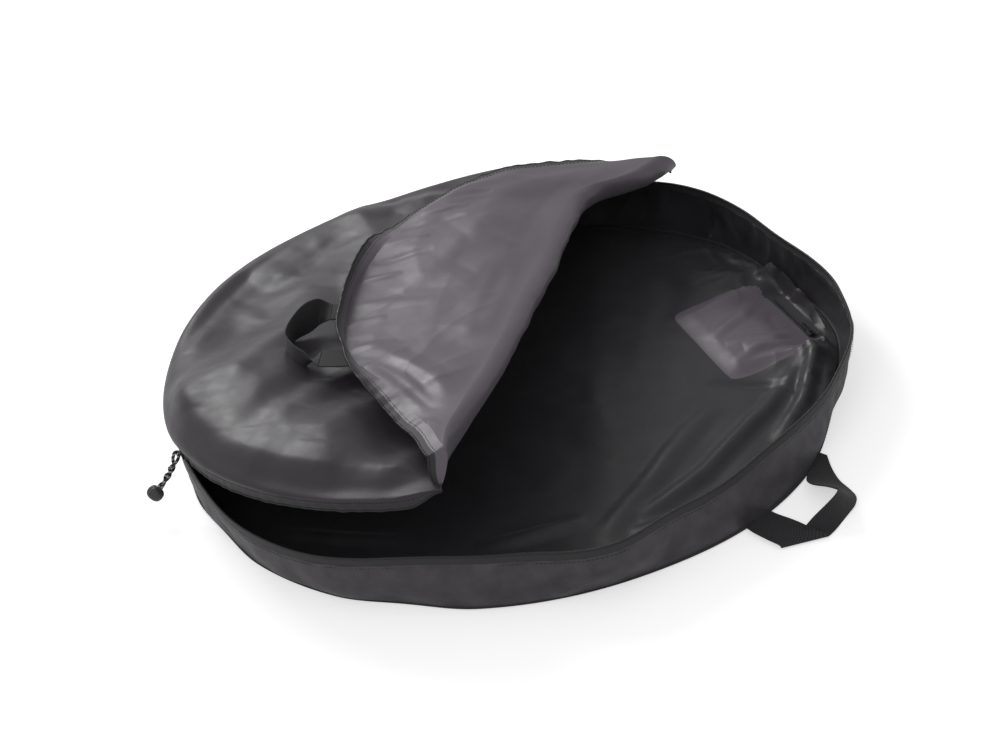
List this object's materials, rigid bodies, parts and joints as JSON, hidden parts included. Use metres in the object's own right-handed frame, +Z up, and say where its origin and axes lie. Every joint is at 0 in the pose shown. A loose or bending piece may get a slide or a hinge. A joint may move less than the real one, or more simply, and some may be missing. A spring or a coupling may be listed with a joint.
{
  "type": "bike wheel bag",
  "caption": "Round flat nylon carrying bag on its base, zip open along the front and the front of the lid folded back; webbing handles, inner pocket and a cord pull.",
  "frame": {"origin": "middle of the round underside, on the ground", "axes": "+Z up, the carrying handles at -Y, +X to the right seen from the handles"},
  "size_m": [0.7887, 0.8629, 0.1939],
  "materials": {
    "nylon_shell": "coated nylon, slightly shiny",
    "nylon_lining": "coated inner face of the nylon, shinier and lighter",
    "floor_lining": "dark coated nylon",
    "webbing": "flat woven webbing, matt",
    "zip_tape": "woven tape, matt",
    "zip_coil": "nylon coil, satin",
    "slider_metal": "dark, satin",
    "cord": "braided, with light flecks",
    "bead_rubber": "moulded, matt",
    "binding": "woven binding"
  },
  "bodies": {
    "base": {"base_panel": "floor_lining", "base_wall": "nylon_shell", "base_seam": "binding", "rim_tape": "zip_tape", "lower_coil": "zip_coil", "end_stop_left": "zip_coil", "end_stop_right": "zip_coil", "back_gusset": "nylon_shell", "lid_panel": "nylon_shell", "lid_lip": "nylon_shell", "lid_tape_left": "zip_tape", "lid_tape_right": "zip_tape", "lid_coil_left": "zip_coil", "lid_coil_right": "zip_coil", "handle_lower_tab_left": "webbing", "handle_lower_tab_right": "webbing", "pocket_panel": "nylon_lining", "pocket_tape": "zip_tape", "pocket_coil": "zip_coil"},
    "fold": {"fold_strip": "nylon_lining"},
    "flap": {"flap_panel": "nylon_lining", "flap_lip": "nylon_lining", "flap_tape": "zip_tape", "flap_coil": "zip_coil", "handle_upper_tab_left": "webbing", "handle_upper_tab_right": "webbing"},
    "lower_handle": {"handle_lower": "webbing"},
    "upper_handle": {"handle_upper": "webbing"},
    "slider": {"zip_slider": "slider_metal"},
    "pull": {"pull_cord": "cord", "pull_bead": "bead_rubber"},
    "inner_slider": {"pocket_slider": "slider_metal"},
    "inner_tab": {"pocket_tab": "slider_metal"}
  },
  "joints": [
    {"name": "lid_fold", "type": "hinge", "parent": "base", "child": "fold", "pos_m": [0.02839, -0.07799, 0.12239], "axis": [0.938, 0.3414, -0.0601], "range_deg": [0, 93]},
    {"name": "flap_fold", "type": "hinge", "parent": "fold", "child": "flap", "pos_m": [0.03037, -0.07727, 0.15733], "axis": [0.938, 0.3414, -0.0601], "range_deg": [0, 93]},
    {"name": "lower_handle_swing", "type": "hinge", "parent": "base", "child": "lower_handle", "pos_m": [0, -0.392, 0.0046], "axis": [1, 0, 0], "range_deg": [-50, 0]},
    {"name": "upper_handle_swing", "type": "hinge", "parent": "flap", "child": "upper_handle", "pos_m": [-0.17403, 0.10216, 0.15179], "axis": [0.7636, 0.6414, -0.0738], "range_deg": [0, 30]},
    {"name": "slider_travel", "type": "hinge", "parent": "base", "child": "slider", "pos_m": [0, 0, 0.0736], "axis": [0, 0, 1], "range_deg": [0, 234]},
    {"name": "pull_swing", "type": "hinge", "parent": "slider", "child": "pull", "pos_m": [-0.35617, 0.18226, 0.073], "axis": [0.4555, 0.8902, 0], "range_deg": [-20, 100]},
    {"name": "pocket_slider_travel", "type": "slide", "parent": "base", "child": "inner_slider", "axis": [0.4648, 0.8854, 0], "range_m": [0, 0.085]},
    {"name": "pocket_tab_swing", "type": "hinge", "parent": "inner_slider", "child": "inner_tab", "pos_m": [0.26601, -0.24179, 0.00735], "axis": [0.8854, -0.4648, 0], "range_deg": [0, 150]}
  ],
  "couplings": [
    {"joint": "flap_fold", "follows": "lid_fold", "ratio": 1}
  ]
}
